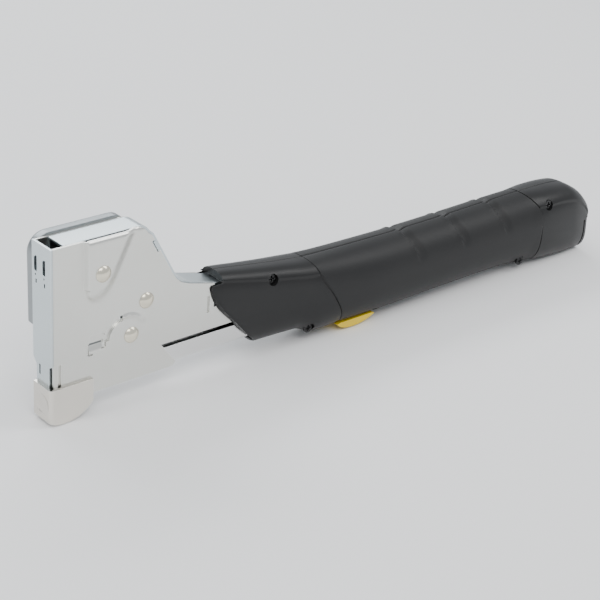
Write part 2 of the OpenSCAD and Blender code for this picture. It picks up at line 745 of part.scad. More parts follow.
handle_left();
handle_right();
grip_left();
grip_right();
handle_screws();
striker_frame();
driver_block();
driver_blade();
block_pins();
blade_rivets();
pivot_bracket();
left_side_plate();
right_side_plate();
side_cover();
front_plate();
nose_shoe();
nose_block();
guide_pads();
body_rivets();
rivet_spacers();
spring_bush();
return_spring();
magazine_channel();
channel_rivets();
hinge_studs();
latch_bracket();
latch_pin();
latch();
latch_spring();
staple_strip();
core_rail();
guide_rod();
pusher_spring();
end_cap();
pusher();
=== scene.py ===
import json
import math

import bpy
from mathutils import Matrix, Vector


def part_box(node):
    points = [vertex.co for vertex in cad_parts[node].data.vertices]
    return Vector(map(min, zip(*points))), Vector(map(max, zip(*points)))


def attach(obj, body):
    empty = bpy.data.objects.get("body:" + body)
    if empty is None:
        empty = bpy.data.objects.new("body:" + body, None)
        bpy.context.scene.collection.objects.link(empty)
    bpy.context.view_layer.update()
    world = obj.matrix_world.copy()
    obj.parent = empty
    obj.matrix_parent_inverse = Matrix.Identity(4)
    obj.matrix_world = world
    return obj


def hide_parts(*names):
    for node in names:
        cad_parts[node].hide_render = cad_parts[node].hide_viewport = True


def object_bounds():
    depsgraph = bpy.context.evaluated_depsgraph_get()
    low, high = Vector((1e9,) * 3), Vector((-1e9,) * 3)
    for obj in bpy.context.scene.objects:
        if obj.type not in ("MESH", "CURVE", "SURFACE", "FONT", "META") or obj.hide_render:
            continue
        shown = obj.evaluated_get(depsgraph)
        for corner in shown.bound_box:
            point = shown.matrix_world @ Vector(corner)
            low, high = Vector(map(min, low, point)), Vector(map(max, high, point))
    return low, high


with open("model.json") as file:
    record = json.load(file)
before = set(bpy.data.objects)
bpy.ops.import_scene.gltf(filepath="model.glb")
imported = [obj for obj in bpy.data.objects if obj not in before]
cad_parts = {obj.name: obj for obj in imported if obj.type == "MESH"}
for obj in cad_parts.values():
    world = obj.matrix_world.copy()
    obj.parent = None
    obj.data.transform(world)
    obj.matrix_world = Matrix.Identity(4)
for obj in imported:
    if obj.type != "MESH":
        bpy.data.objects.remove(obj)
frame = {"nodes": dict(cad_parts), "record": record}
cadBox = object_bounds()
mm = 0.001
print("frame loaded:", len(frame["nodes"]), "nodes")


def lowOf(node):
    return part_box(node)[0] / mm


def highOf(node):
    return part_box(node)[1] / mm


# Camera and soft studio light
studio = {
    "cameraPlace": (-0.32935, -0.52579, 0.36624),
    "cameraRight": (0.7578, -0.6497, 0.0598),
    "cameraUp": (0.2461, 0.3696, 0.8960),
    "lens": 96,
    "skyColor": (0.93, 0.96, 1.0),
    "skyStrength": 0.85,
    "floorSize": 8,
}

right = Vector(studio["cameraRight"]).normalized()
up = Vector(studio["cameraUp"])
up = (up - right * up.dot(right)).normalized()
back = right.cross(up)
bpy.ops.object.select_all(action="DESELECT")
bpy.ops.object.camera_add()
camera = bpy.context.object
turn = Matrix((right, up, back)).transposed().to_4x4()
camera.matrix_world = Matrix.Translation(studio["cameraPlace"]) @ turn
camera.data.lens = studio["lens"]
camera.data.sensor_width = 36
camera.data.clip_start = 0.01
bpy.context.scene.camera = camera


def addLamp(place, aim, size, power, color=(1, 1, 1)):
    bpy.ops.object.light_add(type="AREA", location=place)
    lamp = bpy.context.object
    lamp.data.shape = "RECTANGLE"
    lamp.data.size = size[0]
    lamp.data.size_y = size[1]
    lamp.data.energy = power
    lamp.data.color = color
    aimed = (Vector(aim) - Vector(place)).to_track_quat("-Z", "Y")
    lamp.rotation_euler = aimed.to_euler()
    return lamp


lamps = [
    ((-0.5, -1.2, 1.5), (0.1, 0, 0.03), (1.2, 0.8), 16, (1, 0.99, 0.97)),
    ((0.9, -0.5, 1.1), (0.25, 0, 0.03), (0.5, 0.9), 7, (1, 1, 1)),
    ((0.3, 1.1, 0.9), (0.15, 0, 0.05), (1.4, 0.4), 10, (0.95, 0.98, 1)),
    ((-1.1, 0.1, 0.6), (0, 0, 0.05), (0.5, 0.8), 4, (0.93, 0.97, 1)),
]
for place, aim, size, power, color in lamps:
    addLamp(place, aim, size, power, color)

world = bpy.data.worlds.new("studioSky")
bpy.context.scene.world = world
world.use_nodes = True
sky = world.node_tree.nodes["Background"]
sky.inputs["Color"].default_value = (*studio["skyColor"], 1)
sky.inputs["Strength"].default_value = studio["skyStrength"]


# Shader groups that every finish shares
def newGroup(name, ins, outs):
    group = bpy.data.node_groups.new(name, "ShaderNodeTree")
    for label, kind, value in ins:
        socket = group.interface.new_socket(name=label, in_out="INPUT", socket_type=kind)
        socket.default_value = value
    for label, kind in outs:
        group.interface.new_socket(name=label, in_out="OUTPUT", socket_type=kind)
    start = group.nodes.new("NodeGroupInput")
    end = group.nodes.new("NodeGroupOutput")
    return group, start, end


def addNode(tree, kind, **values):
    node = tree.nodes.new(kind)
    for label, value in values.items():
        setattr(node, label, value)
    return node


def joinSockets(tree, *pairs):
    for source, target in pairs:
        tree.links.new(source, target)


def valueMath(tree, operation, first, second, clamp=False):
    node = addNode(tree, "ShaderNodeMath", operation=operation, use_clamp=clamp)
    for slot, value in zip(node.inputs, (first, second)):
        if isinstance(value, (int, float)):
            slot.default_value = value
        else:
            tree.links.new(value, slot)
    return node.outputs[0]


def makeGrainGroup():
    # fine moulded or rolled grain, with its own height
    group, start, end = newGroup(
        "surfaceGrain",
        [("Scale", "NodeSocketFloat", 900.0), ("Stretch", "NodeSocketVector", (1, 1, 1))],
        [("Height", "NodeSocketFloat"), ("Pits", "NodeSocketFloat")],
    )
    place = addNode(group, "ShaderNodeTexCoord")
    stretch = addNode(group, "ShaderNodeVectorMath", operation="MULTIPLY")
    noise = addNode(group, "ShaderNodeTexNoise")
    noise.inputs["Detail"].default_value = 4
    cells = addNode(group, "ShaderNodeTexVoronoi")
    joinSockets(
        group,
        (place.outputs["Object"], stretch.inputs[0]),
        (start.outputs["Stretch"], stretch.inputs[1]),
        (stretch.outputs[0], noise.inputs["Vector"]),
        (stretch.outputs[0], cells.inputs["Vector"]),
        (start.outputs["Scale"], noise.inputs["Scale"]),
        (start.outputs["Scale"], cells.inputs["Scale"]),
        (noise.outputs[0], end.inputs["Height"]),
        (cells.outputs["Distance"], end.inputs["Pits"]),
    )
    return group


def makeHandlingGroup():
    # soft uneven patches, as left by hands and polishing
    group, start, end = newGroup(
        "handlingMarks",
        [("Size", "NodeSocketFloat", 20.0), ("Contrast", "NodeSocketFloat", 1.5)],
        [("Mask", "NodeSocketFloat")],
    )
    place = addNode(group, "ShaderNodeTexCoord")
    wide = addNode(group, "ShaderNodeTexNoise")
    wide.inputs["Detail"].default_value = 5
    wide.inputs["Roughness"].default_value = 0.6
    joinSockets(
        group,
        (place.outputs["Object"], wide.inputs["Vector"]),
        (start.outputs["Size"], wide.inputs["Scale"]),
    )
    centred = valueMath(group, "SUBTRACT", wide.outputs[0], 0.5)
    scaled = valueMath(group, "MULTIPLY", centred, start.outputs["Contrast"])
    lifted = valueMath(group, "ADD", scaled, 0.5, clamp=True)
    group.links.new(lifted, end.inputs["Mask"])
    return group


def makeEdgeGroup():
    # where the surface turns sharply the colour is lightened: a painted highlight along every edge, together
    # with some real edge wear on plating and plastic
    group, start, end = newGroup(
        "edgeWearAndHighlight",
        [("Radius", "NodeSocketFloat", 0.0006), ("Strength", "NodeSocketFloat", 4.0)],
        [("Mask", "NodeSocketFloat")],
    )
    rounded = addNode(group, "ShaderNodeBevel", samples=6)
    plain = addNode(group, "ShaderNodeNewGeometry")
    meet = addNode(group, "ShaderNodeVectorMath", operation="DOT_PRODUCT")
    joinSockets(
        group,
        (start.outputs["Radius"], rounded.inputs["Radius"]),
        (rounded.outputs[0], meet.inputs[0]),
        (plain.outputs["Normal"], meet.inputs[1]),
    )
    gap = valueMath(group, "SUBTRACT", 1.0, meet.outputs["Value"])
    mask = valueMath(group, "MULTIPLY", gap, start.outputs["Strength"], clamp=True)
    group.links.new(mask, end.inputs["Mask"])
    return group


groups = {
    "grain": makeGrainGroup(),
    "handling": makeHandlingGroup(),
    "edge": makeEdgeGroup(),
}


def placeGroup(tree, name, **values):
    node = addNode(tree, "ShaderNodeGroup", node_tree=groups[name])
    for label, value in values.items():
        node.inputs[label].default_value = value
    return node


def mixColors(tree, factor, first, second):
    node = addNode(tree, "ShaderNodeMix", data_type="RGBA")
    for label, value in ((0, factor), (6, first), (7, second)):
        if isinstance(value, tuple):
            node.inputs[label].default_value = (*value, 1)
        else:
            tree.links.new(value, node.inputs[label])
    return node.outputs[2]


def makeFinish(name, look):
    finish = bpy.data.materials.new(name)
    finish.use_nodes = True
    tree = finish.node_tree
    shader = tree.nodes["Principled BSDF"]
    marks = placeGroup(tree, "handling", Size=look["patchScale"], Contrast=look["patchContrast"])
    grain = placeGroup(tree, "grain", Scale=look["grainScale"], Stretch=look.get("stretch", (1, 1, 1)))
    edge = placeGroup(tree, "edge", Radius=look.get("edgeRadius", 0.0005), Strength=look["edgeStrength"])
    patched = mixColors(tree, marks.outputs["Mask"], look["base"], look["patch"])
    # edges lightened towards the edge colour: a painted edge highlight, partly real edge wear
    wornAndHighlighted = mixColors(tree, edge.outputs["Mask"], patched, look["edgeWearAndHighlightColor"])
    tree.links.new(wornAndHighlighted, shader.inputs["Base Color"])
    spread = addNode(tree, "ShaderNodeMapRange")
    spread.inputs["To Min"].default_value = look["roughness"][0]
    spread.inputs["To Max"].default_value = look["roughness"][1]
    both = valueMath(tree, "ADD", marks.outputs["Mask"], grain.outputs["Height"])
    half = valueMath(tree, "MULTIPLY", both, 0.5)
    joinSockets(tree, (half, spread.inputs["Value"]), (spread.outputs[0], shader.inputs["Roughness"]))
    shader.inputs["Metallic"].default_value = look["metallic"]
    for label, value in look.get("fixed", {}).items():
        shader.inputs[label].default_value = value
    bump = addNode(tree, "ShaderNodeBump")
    bump.inputs["Strength"].default_value = look["bump"][0]
    bump.inputs["Distance"].default_value = look["bump"][1]
    height = grain.outputs["Pits" if look.get("pitted") else "Height"]
    joinSockets(tree, (height, bump.inputs["Height"]), (bump.outputs[0], shader.inputs["Normal"]))
    return finish


def metalLook(base, patch, edgeWearAndHighlightColor, roughness, scale=700, stretch=(1, 1, 1), bump=(0.06, 0.00005)):
    return {
        "base": base, "patch": patch, "edgeWearAndHighlightColor": edgeWearAndHighlightColor, "metallic": 1.0,
        "roughness": roughness, "patchScale": 24, "patchContrast": 1.6, "grainScale": scale,
        "stretch": stretch, "edgeStrength": 3.0, "bump": bump,
    }


def plasticLook(base, patch, edgeWearAndHighlightColor, roughness, scale=1500, bump=(0.12, 0.00008), **more):
    look = {
        "base": base, "patch": patch, "edgeWearAndHighlightColor": edgeWearAndHighlightColor, "metallic": 0.0,
        "roughness": roughness, "patchScale": 30, "patchContrast": 1.4, "grainScale": scale,
        "edgeStrength": 1.5, "bump": bump,
    }
    look.update(more)
    return look


# the third colour of each look is its lighter edge colour: a painted edge highlight, partly real edge wear
looks = {
    "handle_plastic": plasticLook((0.008, 0.008, 0.0085), (0.012, 0.012, 0.012), (0.04, 0.04, 0.04),
                                  (0.3, 0.42), fixed={"Specular IOR Level": 0.3}),
    "grip_rubber": plasticLook((0.009, 0.009, 0.0095), (0.013, 0.013, 0.013), (0.04, 0.04, 0.04),
                               (0.42, 0.55), scale=2200, bump=(0.3, 0.0001), pitted=True,
                               fixed={"Specular IOR Level": 0.32}),
    "screw_black": metalLook((0.03, 0.03, 0.032), (0.05, 0.05, 0.05), (0.3, 0.3, 0.3), (0.3, 0.45)),
    "zinc_sheet": metalLook((0.56, 0.62, 0.64), (0.62, 0.68, 0.7), (0.85, 0.9, 0.92), (0.26, 0.38),
                            stretch=(0.12, 1, 1)),
    "dark_steel": metalLook((0.12, 0.12, 0.125), (0.2, 0.2, 0.2), (0.4, 0.4, 0.4), (0.4, 0.55)),
    "blade_steel": metalLook((0.5, 0.5, 0.5), (0.58, 0.58, 0.58), (0.8, 0.8, 0.8), (0.2, 0.35),
                             stretch=(1, 1, 0.1)),
    "pin_steel": metalLook((0.55, 0.55, 0.55), (0.62, 0.62, 0.62), (0.8, 0.8, 0.8), (0.2, 0.35)),
    "chrome_plate": metalLook((0.66, 0.66, 0.62), (0.72, 0.72, 0.69), (0.93, 0.93, 0.92), (0.24, 0.36),
                              stretch=(1, 1, 0.15)),
    "channel_chrome": metalLook((0.7, 0.7, 0.69), (0.76, 0.76, 0.76), (0.95, 0.95, 0.95), (0.14, 0.24),
                                stretch=(0.1, 1, 1)),
    "cover_paint": metalLook((0.27, 0.29, 0.3), (0.32, 0.34, 0.35), (0.5, 0.52, 0.54), (0.32, 0.42)),
    "nickel_shoe": metalLook((0.7, 0.66, 0.6), (0.76, 0.73, 0.67), (0.95, 0.93, 0.9), (0.14, 0.26),
                             stretch=(1, 1, 0.2)),
    "guide_nylon": plasticLook((0.09, 0.1, 0.1), (0.13, 0.14, 0.14), (0.2, 0.2, 0.2), (0.4, 0.5)),
    "rivet_nickel": metalLook((0.72, 0.66, 0.52), (0.8, 0.76, 0.64), (0.95, 0.92, 0.85), (0.16, 0.28)),
    "spring_steel": metalLook((0.2, 0.13, 0.1), (0.3, 0.22, 0.18), (0.5, 0.42, 0.36), (0.25, 0.4)),
    "latch_plastic": plasticLook((0.72, 0.5, 0.01), (0.78, 0.56, 0.02), (0.85, 0.66, 0.1), (0.3, 0.42)),
    "staple_wire": metalLook((0.6, 0.6, 0.61), (0.68, 0.68, 0.7), (0.85, 0.85, 0.85), (0.22, 0.34)),
    "rail_steel": metalLook((0.5, 0.5, 0.51), (0.58, 0.58, 0.6), (0.8, 0.8, 0.8), (0.25, 0.4),
                            stretch=(0.1, 1, 1)),
    "cap_plastic": plasticLook((0.02, 0.02, 0.021), (0.03, 0.03, 0.03), (0.06, 0.06, 0.06), (0.35, 0.5)),
    "pusher_plastic": plasticLook((0.05, 0.05, 0.055), (0.07, 0.07, 0.07), (0.1, 0.1, 0.1), (0.3, 0.4)),
}
finishes = {name: makeFinish(name, look) for name, look in looks.items()}
for part in frame["record"]["subparts"]:
    mesh = frame["nodes"][part["node"]].data
    mesh.materials.clear()
    mesh.materials.append(finishes[part["material_slot"]])
print("finishes made:", len(finishes))


# Modelling helpers, all in millimetres
def pick(piece):
    if bpy.context.object and bpy.context.object.mode != "OBJECT":
        bpy.ops.object.mode_set(mode="OBJECT")
    bpy.ops.object.select_all(action="DESELECT")
    if piece:
        piece.select_set(True)
        bpy.context.view_layer.objects.active = piece


def startEdit(piece):
    pick(piece)
    bpy.ops.object.mode_set(mode="EDIT")
    bpy.ops.mesh.select_all(action="SELECT")


def endEdit():
    bpy.ops.object.mode_set(mode="OBJECT")


def applyModifier(piece, kind, **values):
    pick(piece)
    bpy.ops.object.modifier_add(type=kind)
    modifier = piece.modifiers[-1]
    for label, value in values.items():
        setattr(modifier, label, value)
    bpy.ops.object.modifier_apply(modifier=modifier.name)


def bakePlace(piece):
    pick(piece)
    bpy.ops.object.transform_apply(location=True, rotation=True, scale=True)


def drawLine(name, points):
    # one vertex drawn out along the points; edit mode stays on with everything selected
    pick(None)
    bpy.ops.mesh.primitive_plane_add(size=mm)
    piece = bpy.context.object
    piece.name = name
    bpy.ops.object.mode_set(mode="EDIT")
    bpy.ops.mesh.select_all(action="SELECT")
    bpy.ops.mesh.merge(type="CENTER")
    bpy.ops.transform.translate(value=points[0])
    for a, b in zip(points, points[1:]):
        bpy.ops.mesh.extrude_vertices_move(TRANSFORM_OT_translate={"value": b - a})
    bpy.ops.mesh.select_all(action="SELECT")
    return piece


def traceOutline(name, outline, plane, start, depth):
    # an outline filled and pulled to its depth
    put = {
        "side": lambda a, b: Vector((a, start, b)) * mm,
        "front": lambda a, b: Vector((start, a, b)) * mm,
        "top": lambda a, b: Vector((a, b, start)) * mm,
    }[plane]
    pull = {"side": (0, depth, 0), "front": (depth, 0, 0), "top": (0, 0, depth)}[plane]
    points = [put(a, b) for a, b in outline]
    piece = drawLine(name, points)
    bpy.ops.mesh.edge_face_add()
    bpy.ops.mesh.extrude_region_move(TRANSFORM_OT_translate={"value": Vector(pull) * mm})
    bpy.ops.mesh.select_all(action="SELECT")
    bpy.ops.mesh.normals_make_consistent(inside=False)
    endEdit()
    return piece


def arcPoints(centre, radius, first, last, steps):
    span = (last - first) / steps
    angles = [math.radians(first + span * k) for k in range(steps + 1)]
    return [(centre[0] + radius * math.cos(a), centre[1] + radius * math.sin(a)) for a in angles]


def block(low, high):
    pick(None)
    bpy.ops.mesh.primitive_cube_add(size=1)
    piece = bpy.context.object
    low = Vector(low) * mm
    high = Vector(high) * mm
    piece.scale = high - low
    piece.location = (low + high) / 2
    bakePlace(piece)
    return piece


def pin(centre, radius, first, last, axis="y", sides=40):
    # a round bar between two places on one axis
    pick(None)
    turns = {"y": (math.pi / 2, 0, 0), "x": (0, math.pi / 2, 0), "z": (0, 0, 0)}
    middle = (first + last) / 2
    where = {"y": (centre[0], middle, centre[1]), "x": (middle, centre[0], centre[1]),
             "z": (centre[0], centre[1], middle)}[axis]
    bpy.ops.mesh.primitive_cylinder_add(vertices=sides, radius=radius * mm, depth=abs(last - first) * mm,
                                        location=Vector(where) * mm, rotation=turns[axis])
    piece = bpy.context.object
    bakePlace(piece)
    return piece


def joinPieces(name, pieces):
    pick(pieces[0])
    for piece in pieces:
        piece.select_set(True)
    if len(pieces) > 1:
        bpy.ops.object.join()
    piece = bpy.context.object
    piece.name = name
    return piece


def carve(piece, tools, operation="DIFFERENCE", careful=False):
    for tool in tools:
        applyModifier(piece, "BOOLEAN", operation=operation, solver="EXACT", object=tool, use_self=careful)
        bpy.data.objects.remove(tool)


def soften(piece, width, segments=2, angle=35, smooth=40):
    if width:
        applyModifier(piece, "BEVEL", width=width * mm, segments=segments, limit_method="ANGLE",
                      angle_limit=math.radians(angle), use_clamp_overlap=True, miter_outer="MITER_ARC")
    pick(piece)
    bpy.ops.object.shade_smooth_by_angle(angle=math.radians(smooth))
    applyModifier(piece, "WEIGHTED_NORMAL", keep_sharp=True)


def bevelEdges(piece, wanted, width, segments):
    startEdit(piece)
    bpy.ops.mesh.select_all(action="DESELECT")
    endEdit()
    for edge in piece.data.edges:
        a, b = (piece.data.vertices[v].co / mm for v in edge.vertices)
        edge.select = wanted(a, b)
    pick(piece)
    bpy.ops.object.mode_set(mode="EDIT")
    bpy.ops.mesh.bevel(offset=width * mm, segments=segments, affect="EDGES")
    endEdit()


def bentGrid(name, columns, rows, shape):
    # a flat grid whose every point is then laid on the wanted surface
    pick(None)
    bpy.ops.mesh.primitive_grid_add(x_subdivisions=columns - 1, y_subdivisions=rows - 1, size=1)
    piece = bpy.context.object
    piece.name = name
    for corner in piece.data.vertices:
        column = round((corner.co.x + 0.5) * (columns - 1))
        row = round((corner.co.y + 0.5) * (rows - 1))
        corner.co = shape(column, row)
    piece.data.update()
    return piece


def settle(piece, body, slotName, *nodes):
    bakePlace(piece)
    piece.data.materials.clear()
    piece.data.materials.append(finishes[slotName])
    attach(piece, body)
    if nodes:
        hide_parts(*nodes)
    print("  built", piece.name, len(piece.data.polygons), "faces")


def smoothStep(value):
    value = min(1, max(0, value))
    return value * value * (3 - 2 * value)


def roundedEdge(distance, radius):
    # how far a rounded edge falls back at this distance from it
    if distance >= radius:
        return 0
    return radius - math.sqrt(max(0, radius**2 - (radius - distance) ** 2))


def easeThrough(table, x):
    # smooth curve through a table of places, without overshoot
    if x <= table[0][0]:
        return table[0][1]
    if x >= table[-1][0]:
        return table[-1][1]
    slopes = [(b[1] - a[1]) / (b[0] - a[0]) for a, b in zip(table, table[1:])]
    k = max(i for i in range(len(slopes)) if table[i][0] <= x)

    def slopeAt(i):
        if i == 0:
            return slopes[0]
        if i == len(slopes):
            return slopes[-1]
        if slopes[i - 1] * slopes[i] <= 0:
            return 0
        return 2 * slopes[i - 1] * slopes[i] / (slopes[i - 1] + slopes[i])

    step = table[k + 1][0] - table[k][0]
    t = (x - table[k][0]) / step
    a, b = table[k][1], table[k + 1][1]
    ma, mb = slopeAt(k) * step, slopeAt(k + 1) * step
    return ((2 * t**3 - 3 * t**2 + 1) * a + (t**3 - 2 * t**2 + t) * ma
            + (3 * t**2 - 2 * t**3) * b + (t**3 - t**2) * mb)


# Handle halves and the rubber grips over them
handle = {
    "front": lowOf("handle_left").x,
    "end": highOf("handle_left").x,
    "topLine": [(0, 50.3), (0.04, 49.5), (0.105, 46.9), (0.175, 44.2), (0.25, 42), (0.36, 41.2),
                (0.47, 40.8), (0.58, 41), (0.71, 41.6), (0.83, 42), (0.88, 41.9), (0.93, 41),
                (0.965, 37), (0.99, 31), (1, 27)],
    "lowLine": [(0, 7.4), (0.205, 7.2), (0.255, 2.6), (0.345, 2.1), (0.47, 2.4), (0.6, 2.9), (0.72, 3),
                (0.8, 1.6), (0.88, 0), (0.93, -0.8), (1, -0.8)],
    "halfLine": [(0, 9.8), (0.105, 11.3), (0.175, 12.5), (0.25, 14.4), (0.31, 15.6), (0.4, 16.5),
                 (0.85, 16.3), (0.94, 15.4), (1, 13)],
    "powerLine": [(0, 3.4), (0.2, 3.2), (0.3, 2.5), (0.4, 2.3), (0.8, 2.25), (0.86, 2.8), (1, 3.0)],
    # heights, and how far behind the handle's front each curve lies there
    "frontCut": [(0, 33), (9, 30), (14.2, 25), (23.5, 17), (29.4, 11.5), (39.2, 5.2), (47.3, 1.7), (53, -1)],
    "gripFront": [(-5, 83.6), (10, 82.5), (22, 77), (34, 69.3), (40, 66.6), (43, 65)],
    "gripBack": [(-5, 228), (30, 228), (35, 227), (39, 224.5), (42, 222)],
    "wall": 2.4,
    "gripThickness": 1.4,
    "lip": 2.2,
    "shoulderDrop": [(0, 2.6), (0.24, 5.2), (0.8, 6), (1, 7)],
    "shoulderStep": 0.55,
    "rows": 74,
    "endRound": 3,
}
grooves = {"places": (212, 244.5, 276.5), "depth": 1.25, "lean": 0.25, "fade": (27, 36)}
handleLength = handle["end"] - handle["front"]


def sectionAt(x):
    f = (x - handle["front"]) / handleLength
    return (easeThrough(handle["topLine"], f), easeThrough(handle["lowLine"], f),
            easeThrough(handle["halfLine"], f), easeThrough(handle["powerLine"], f), f)


def ringPoint(x, row, inset):
    # half of a rounded section, from the top seam to the bottom seam, with a fine groove at both seams
    top, low, half, power, f = sectionAt(x)
    last = handle["rows"] - 1
    half -= inset
    tall = (top - low) / 2 - inset
    middle = (top + low) / 2
    if min(half, tall) < 0.6:
        return 0, middle
    fromSeam = min(row, last - row)
    if fromSeam < 2:
        y = min(half, (0.05, 0.5)[fromSeam])
        z = tall * (1 - (y / half) ** power) ** (1 / power) - (0.45, 0)[fromSeam] * min(1, tall)
        return -y, middle + (z if row < last / 2 else -z)
    a = math.pi * (row - 1) / (last - 2)
    shift = 0.5 / half
    c = abs(math.sin(a)) ** (2 / power)
    s = abs(math.cos(a)) ** (2 / power) * (1 if math.cos(a) > 0 else -1)
    return -half * max(c, shift), middle + tall * s


def shoulderInset(z, f):
    top = easeThrough(handle["topLine"], f)
    edge = top - easeThrough(handle["shoulderDrop"], f)
    below = smoothStep((edge - z) / 0.7)
    return handle["shoulderStep"] * below * (1 - smoothStep((edge - 6 - z) / 12))


def grooveInset(x, z):
    total = 0
    for place in grooves["places"]:
        top = sectionAt(place)[0]
        d = x - place - grooves["lean"] * (top - z)
        fade = smoothStep((z - grooves["fade"][0]) / (grooves["fade"][1] - grooves["fade"][0]))
        if -3 < d <= 0:
            total -= 0.3 * smoothStep((d + 3) / 3) * fade
        elif 0 < d < 7:
            dip = smoothStep(d / 0.9) * (1 - smoothStep((d - 1.6) / 5.4))
            total += (grooves["depth"] * dip - 0.3 * (1 - smoothStep(d / 0.9))) * fade
    return total


def layHandle(name, side, spans, innerInset, insetOf=None):
    # a shell laid as one closed skin: outer rows from seam to seam, inner rows back again
    columns = [(spans[0][0], spans[0][1], 0, None, 0, 0)]
    for first, last, count, inset, lipFirst, lipLast in spans:
        columns += [(first, last, k / (count - 1), inset, lipFirst, lipLast) for k in range(count)]
    columns.append((spans[-1][0], spans[-1][1], 1, None, 0, 0))
    rows = handle["rows"]

    def place(column, row, inner):
        first, last, t, inset, lipFirst, lipLast = columns[column]
        solid = inner or inset is None
        base = innerInset if solid else inset
        y, z = ringPoint(handle["front"] + 100, row, 0)
        for _ in range(4):
            a, b = first(z), last(z)
            x = a + (b - a) * t
            y, z = ringPoint(x, row, base)
        if solid:
            return x, y, z
        extra = insetOf(x, z) if insetOf else 0
        extra += roundedEdge(x - a, lipFirst) if lipFirst else 0
        extra += roundedEdge(b - x, lipLast) if lipLast else 0
        return x, *ringPoint(x, row, base + min(extra, innerInset - base - 0.1))

    def shape(column, row):
        row = row % (2 * rows)
        inner = row >= rows
        x, y, z = place(column, 2 * rows - 1 - row if inner else row, inner)
        return Vector((x, -y * side, z)) * mm

    piece = bentGrid(name, len(columns), 2 * rows + 1, shape)
    startEdit(piece)
    bpy.ops.mesh.remove_doubles(threshold=0.00002)
    bpy.ops.mesh.dissolve_degenerate(threshold=0.00001)
    bpy.ops.mesh.select_all(action="SELECT")
    bpy.ops.mesh.normals_make_consistent(inside=False)
    endEdit()
    return piece


def curveBehind(table):
    return lambda z: handle["front"] + easeThrough(table, z)


frontCut = curveBehind(handle["frontCut"])
gripFront = curveBehind(handle["gripFront"])
gripBack = curveBehind(handle["gripBack"])


def endStart(z):
    return handle["end"] - 2 * handle["endRound"]


def plasticInset(x, z):
    f = (x - handle["front"]) / handleLength
    if gripFront(z) + 0.1 < x < gripBack(z) - 0.1:
        return 0
    return shoulderInset(z, f)


foot = handle["end"] - 3


def mouthTools():
    mouth = highOf("right_side_plate").y + 0.6
    return [
        block((60, -mouth, -5), (handle["front"] + 11, mouth, 70)),
        block((61, -mouth - 0.1, 9.6), (handle["front"] + 85, mouth + 0.1, 21.6)),
        block((60, 0.3 - mouth, 10.8), (handle["front"] + 34, mouth - 0.3, 44.3)),
        latchWindow(),
    ]


def buttTools(side):
    channel = highOf("magazine_channel").y + 0.9
    rim = sectionAt(foot)[2] * side
    groove = sorted((rim + side * 3, rim - side * 2.4))
    return [
        block((-10, -40, -20), (400, 40, 0)),
        block((foot, -40, -5), (foot + 20, 40, 19.5)),
        block((foot - 24, -channel, 1.4), (foot + 20, channel, 18.6)),
        block((foot - 3.4, groove[0], 1.6), (foot - 2.2, groove[1], 19)),
    ]


screwPlaces = [(122.1, 40), (146, 7.8), (316, 35.5), (298, 6.4)]
screwHead = highOf("handle_screws").x - screwPlaces[2][0]
spansPlastic = [
    (frontCut, gripFront, 56, 0, handle["lip"], 0),
    (lambda z: gripFront(z) + 0.05, lambda z: gripBack(z) - 0.05, 40, handle["gripThickness"] + 0.1, 0, 0),
    (gripBack, endStart, 30, 0, 0, 0),
]
spansEnd = [(endStart, lambda z: handle["end"], 16, 0, 0, handle["endRound"])]
spansRubber = [(gripFront, gripBack, 230, -0.05, 0.9, 0.9)]
latchLow, latchHigh = lowOf("latch"), highOf("latch")


def latchWindow():
    return block((latchLow.x - 2, -latchHigh.y - 0.8, -5), (latchHigh.x + 2, latchHigh.y + 0.8, 15))


for side, word in ((-1, "left"), (1, "right")):
    wallInset = handle["gripThickness"] + handle["wall"]
    shell = layHandle("handleShell" + word.title(), side, spansPlastic, wallInset, plasticInset)
    tools = mouthTools() + buttTools(side)
    if side < 0:
        for x, z in screwPlaces:
            tools.append(pin((x, z), screwHead + 0.3, -30, -(sectionAt(x)[2] - 5)))
    # the two long mouth cuts meet the rolled lips, so they are cut last and with more care
    carve(shell, tools[:1] + tools[3:])
    carve(shell, tools[1:3], careful=True)
    buttEnd = layHandle("buttEnd", side, spansEnd, 40, plasticInset)
    carve(buttEnd, buttTools(side))
    shell = joinPieces(shell.name, [shell, buttEnd])
    soften(shell, 0, smooth=38)
    settle(shell, "striker", "handle_plastic", "handle_" + word)
    sleeve = layHandle("rubberGrip" + word.title(), side, spansRubber, handle["gripThickness"] - 0.05,
                       grooveInset)
    sleeveTools = [latchWindow(), block((-10, -40, -20), (400, 40, 0))]
    if side < 0:
        sleeveTools.append(pin(screwPlaces[3], screwHead + 0.3, -30, -5))
    carve(sleeve, sleeveTools)
    soften(sleeve, 0, smooth=50)
    settle(sleeve, "striker", "grip_rubber", "grip_" + word)
print("handle done")

# Left side plate: pressed as a sheet, then cut to its outline
plateFace = highOf("right_side_plate").y
headTop = highOf("striker_frame").z
plate = {
    "thick": 1.2,
    "panelRise": 2.4,
    "panelFront": 16.4,
    "panelLow": (26, 62, 9),
    "rollDepth": 1.1,
    "rollHeight": 2.4,
    "tab": (19.4, 27.2, 30.2, 34.2),
    "tabDepth": 1.3,
    "ridge": (39.5, 33, 10.3),
    "lowEdge": lowOf("left_side_plate").z,
    "tailEnd": highOf("left_side_plate").x,
    "slope": [(52.6, 79.1), (64, 58.1), (66.2, 54.7), (69.4, 51.7), (74, 49.8), (80, 48.2), (88.5, 46.2)],
}


def slopeOutline(out=0.0):
    # top edge of the head from its rounded corner down to the tail
    corner = arcPoints((44 + out, headTop - 7), 7, 90, 30, 8)
    return corner + [(x + out, z) for x, z in plate["slope"]]


def headOutline(front, low, notched):
    notch = [(53.9, 76.8), (52.4, 76.0), (55.6, 70.2), (57.1, 71.0)]
    top = slopeOutline()
    tail = [(88.5, low + 24), (plate["tailEnd"], low + 24), (plate["tailEnd"], low + 13)]
    foot = [(58.6, low + 13), (67, low + 2.4), (66.4, low + 1), (65.4, low + 0.2), (64, low)]
    if notched:
        top = top[:10] + notch + top[10:]
    return [(front, low), (front, headTop)] + top + tail + foot


